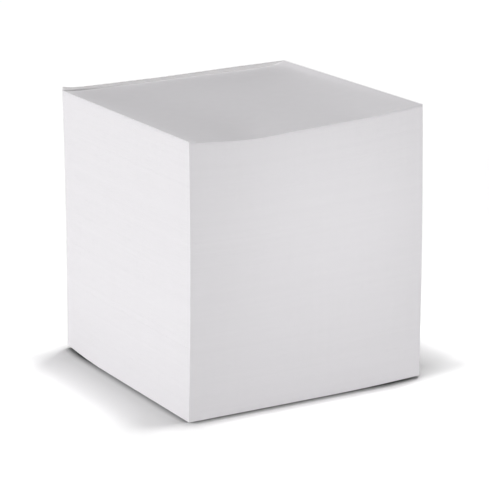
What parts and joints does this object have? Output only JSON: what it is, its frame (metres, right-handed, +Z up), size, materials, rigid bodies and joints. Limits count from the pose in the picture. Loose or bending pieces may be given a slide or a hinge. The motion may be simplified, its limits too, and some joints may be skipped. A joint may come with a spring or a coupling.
{
  "type": "memo cube",
  "caption": "Square block of plain white loose sheets, a little taller than wide, glued together along one upright side.",
  "frame": {"origin": "on the table, under the middle of the bounding box", "axes": "+Z up along the stack, +Y towards the glued side, +X to the right when the free front edges face the viewer"},
  "size_m": [0.0965, 0.0964, 0.103],
  "materials": {
    "sheet_paper": "uncoated matt",
    "padding_glue": "dried, slightly milky"
  },
  "bodies": {
    "root": {"sheet_block": "sheet_paper", "glue_film": "padding_glue"}
  },
  "joints": []
}
